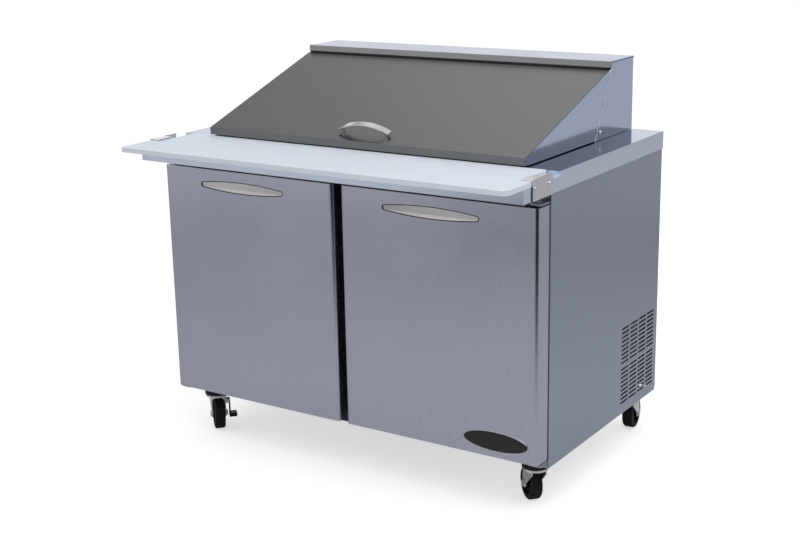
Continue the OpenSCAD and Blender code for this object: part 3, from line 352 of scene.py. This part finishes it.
def tube(name, path, radius, slot, body, sides=10):
    """Closed bead of round section along a closed path in a plane of constant y."""
    depth = Vector((0, 1, 0))
    bm = bmesh.new()
    rings = []
    count = len(path)
    for i, point in enumerate(path):
        ahead = (path[(i + 1) % count] - path[i - 1]).normalized()
        out = ahead.cross(depth)
        rings.append([bm.verts.new(point + radius * (cos(a) * out + sin(a) * depth))
                      for a in (2 * pi * k / sides for k in range(sides))])
    for i in range(count):
        here, there = rings[i], rings[(i + 1) % count]
        for k in range(sides):
            bm.faces.new((here[k], here[(k + 1) % sides], there[(k + 1) % sides], there[k]))
    bmesh.ops.recalc_face_normals(bm, faces=bm.faces)
    for face in bm.faces:
        face.smooth = True
    mesh = bpy.data.meshes.new(name)
    bm.to_mesh(mesh)
    bm.free()
    return linked(name, mesh, slot, body)


def lens_path(centre, length, height, end_radius, steps=40, end_steps=8):
    """Outline of the grip: two shallow arcs between two small round ends, as points in x and z."""
    half, sag = length / 2 - end_radius, height / 2 - end_radius
    radius = (half * half + sag * sag) / (2 * sag)
    points = []
    for side in (1, -1):
        for k in range(steps + 1):
            x = half * (1 - 2 * k / steps)
            z = (radius * radius - x * x) ** 0.5 - radius + height / 2
            points.append((side * x, side * z))
        for k in range(1, end_steps):
            a = pi / 2 + pi * k / end_steps
            points.append((side * (end_radius * cos(a) - half), side * end_radius * sin(a)))
    return [centre + Vector((x, 0, z)) for x, z in points]


GRIP_BEAD = 1.3 * MM
GRIP_FLANGE = 4 * MM
GRIP_END = 8 * MM
BEAD_IN = 1.2 * MM
BEAD_SUNK = 0.9 * MM
for side in ("left", "right"):
    low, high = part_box(f"door_{side}_grip")
    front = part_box(f"door_{side}_skin")[0].y
    centre = Vector(((low.x + high.x) / 2, front + BEAD_SUNK, (low.z + high.z) / 2))
    inset = 2 * (GRIP_FLANGE + BEAD_IN)
    outline = lens_path(centre, high.x - low.x - inset, high.z - low.z - inset, GRIP_END - BEAD_IN)
    tube(f"grip_bead_{side}", outline, GRIP_BEAD, "rubber", f"door_{side}")


RIM_RADIUS = 1.1 * MM
RIM_OUT = 0.6 * MM
RIM_SUNK = 1.2 * MM
RIM_STEPS = 96
low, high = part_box("door_badge")
centre, reach = (low + high) / 2, (high - low) / 2
rim = [Vector((centre.x + (reach.x + RIM_OUT) * cos(a), low.y + RIM_SUNK,
               centre.z + (reach.z + RIM_OUT) * sin(a)))
       for a in (2 * pi * k / RIM_STEPS for k in range(RIM_STEPS))]
tube("badge_rim", rim, RIM_RADIUS, "chrome", "door_right")


def seam_strip(name, side, out_x, foot, head, width, rows=14):
    """Rubber strip that fills the seam between lid and hood, rounded on its outer face."""
    # millimetres out from the cheek's face, and share of the width
    section = [(-4, 0), (-4, 1), (-1.0, 1), (-0.45, 0.94), (-0.2, 0.8), (-0.1, 0.5), (-0.2, 0.2),
               (-0.45, 0.06), (-1.0, 0)]
    bm = bmesh.new()
    rings = []
    for k in range(rows + 1):
        place = foot.lerp(head, k / rows)
        rings.append([bm.verts.new((side * (out_x + x * MM), place.y - across * width, place.z))
                      for x, across in section])
    count = len(section)
    for here, there in zip(rings, rings[1:]):
        for k in range(count):
            bm.faces.new((here[k], here[(k + 1) % count], there[(k + 1) % count], there[k]))
    bm.faces.new(rings[0])
    bm.faces.new(rings[-1])
    bmesh.ops.recalc_face_normals(bm, faces=bm.faces)
    mesh = bpy.data.meshes.new(name)
    bm.to_mesh(mesh)
    bm.free()
    return linked(name, mesh, "rubber", "cabinet")


SEAM = 3.5 * MM
SEAM_PLAY = 0.25 * MM
SEAM_HEAD_IN = 5 * MM
low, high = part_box("hood_seal")
foot, head = Vector((0, low.y + SEAM, low.z)), Vector((0, high.y - SEAM_HEAD_IN, high.z))
cheek_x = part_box("hood_shell")[1].x
for side, where in ((-1, "left"), (1, "right")):
    seam_strip(f"seam_strip_{where}", side, cheek_x, foot, head, SEAM - SEAM_PLAY)


# ---------------------------------------------------------------- studio


def mesh_object(name, verts, faces):
    mesh = bpy.data.meshes.new(name)
    mesh.from_pydata(verts, [], faces)
    obj = bpy.data.objects.new(name, mesh)
    bpy.context.scene.collection.objects.link(obj)
    return obj


def studio_floor(size=60.0):
    """Pale paper floor: near white to the lens, a little greyer and dimmer with distance in reflections."""
    corners = [(-size, -size, 0), (size, -size, 0), (size, size, 0), (-size, size, 0)]
    floor = mesh_object("studio_floor", corners, [(0, 1, 2, 3)])
    m = Shader("floor_paper", Roughness=0.9)
    path = m.node("LightPath").outputs
    length = m.node("VectorMath", {"operation": "LENGTH"})
    m.feed(length.inputs[0], m.place)
    away = length.outputs["Value"]
    spot = m.node("SeparateXYZ", Vector=m.place).outputs

    def rise(value, start, end):
        return m.remap(value, start, end, 0.0, 1.0)

    # zones of the floor as metal reflects it: where each one holds, and its tone
    behind = m.math("MULTIPLY", rise(away, 3.2, 3.9), m.math("GREATER_THAN", spot["Y"], 0.0))
    dark_side = m.math("MULTIPLY", rise(spot["Y"], -2.2, -2.9), rise(spot["X"], -2.0, -1.1))
    zones = [
        (rise(away, 0.6, 3.1), (0.45, 0.45, 0.47)),
        (rise(spot["Y"], -3.35, -3.65), (0.82, 0.82, 0.86)),
        (behind, (0.60, 0.60, 0.63)),
        (dark_side, (0.26, 0.26, 0.27)),
    ]
    grey = (0.62, 0.62, 0.64)
    for share, tone in zones:
        grey = m.mix(share, grey, tone)
    lens_glow = 0.60
    m.drive("Base Color", m.mix(path["Is Glossy Ray"], (0.72, 0.72, 0.72), grey))
    m.surface.inputs["Emission Color"].default_value = (1, 1, 1, 1)
    m.drive("Emission Strength", m.math("MULTIPLY", path["Is Camera Ray"], lens_glow))
    m.surface.inputs["Specular IOR Level"].default_value = 0.0
    floor.data.materials.append(m.material)


def black_flag():
    """A dark card by the camera that only reflections see: it draws the dark lines along rounded corners."""
    far, near, up = Vector((2.25, -0.62, 0)), Vector((0.42, -2.3, 0)), Vector((0, 0, 1.5))
    flag = mesh_object("studio_flag", [far, near, near + up, far + up], [(0, 1, 2, 3)])
    m = Shader("flag_cloth", Roughness=1.0)
    m.drive("Base Color", m.mix(m.noise(40), (0.004, 0.004, 0.004), (0.010, 0.010, 0.010)))
    m.surface.inputs["Specular IOR Level"].default_value = 0.0
    flag.data.materials.append(m.material)
    for kind in ("camera", "diffuse", "shadow", "transmission"):
        setattr(flag, "visible_" + kind, False)


def softbox(name, centre, target, size, watts):
    light = bpy.data.lights.new(name, "AREA")
    light.shape = "RECTANGLE"
    light.size, light.size_y = size
    light.energy = watts
    obj = bpy.data.objects.new(name, light)
    bpy.context.scene.collection.objects.link(obj)
    obj.location = centre
    obj.rotation_euler = (Vector(target) - Vector(centre)).to_track_quat("-Z", "Y").to_euler()


def studio_world():
    """White to the lens, even fill to matt surfaces, and light and dark zones where metal reflects it."""
    world = bpy.data.worlds.new("studio")
    bpy.context.scene.world = world
    world.use_nodes = True
    shade = Shader.__new__(Shader)
    shade.tree = world.node_tree
    sky = world.node_tree.nodes["Background"]
    direction = shade.node("TexCoord").outputs["Generated"]
    way = shade.node("SeparateXYZ", Vector=direction).outputs

    def ramp(stops):
        made = shade.node("ValToRGB")
        made.color_ramp.interpolation = "EASE"
        while len(made.color_ramp.elements) < len(stops):
            made.color_ramp.elements.new(0.5)
        for element, (place, level) in zip(made.color_ramp.elements, stops):
            element.position = (place + 1) / 2
            element.color = (level, level, level * 1.01, 1)
        shade.feed(made.inputs["Fac"], shade.remap(way["X"], -1.0, 1.0, 0.0, 1.0))
        return made.outputs["Color"]

    # each stop is a direction's share along X and the light that metal reflects from there
    horizon = ramp([(-1.0, 1.0), (-0.3, 1.0), (0.1, 0.45), (0.6, 0.18), (1.0, 0.3)])
    upper = ramp([(-0.72, 0.42), (-0.42, 0.95), (0.0, 0.8), (1.0, 0.7)])
    height = shade.remap(way["Z"], 0.30, 0.50, 0.0, 1.0)
    reflected = shade.mix(height, horizon, upper)
    path = shade.node("LightPath").outputs
    fill, backdrop = (0.66, 0.66, 0.67), (1.0, 1.0, 1.0)
    unseen = shade.mix(path["Is Glossy Ray"], fill, reflected)
    shade.feed(sky.inputs["Color"], shade.mix(path["Is Camera Ray"], unseen, backdrop))


def camera():
    """The photograph's view: from the front right, a little above, with a slight roll."""
    azimuth, elevation, roll = radians(33.459), radians(15.265), radians(-1.104)
    place = Vector((2.153975, -3.258087, 1.599248))
    back = Vector((sin(azimuth) * cos(elevation), -cos(azimuth) * cos(elevation), sin(elevation)))
    right = Vector((cos(azimuth), sin(azimuth), 0))
    up = back.cross(right)
    right, up = right * cos(roll) + up * sin(roll), up * cos(roll) - right * sin(roll)
    lens = bpy.data.cameras.new("camera")
    lens.lens = 62.557
    lens.sensor_width = 36
    obj = bpy.data.objects.new("camera", lens)
    bpy.context.scene.collection.objects.link(obj)
    obj.matrix_world = Matrix((right, up, back)).transposed().to_4x4()
    obj.location = place
    bpy.context.scene.camera = obj


studio_floor()
studio_world()
black_flag()
softbox("overhead", centre=(1.4, -0.9, 3.4), target=(0.2, 0.0, 0.4), size=(3.4, 2.6), watts=34)
camera()
bpy.context.scene.view_settings.view_transform = "Standard"
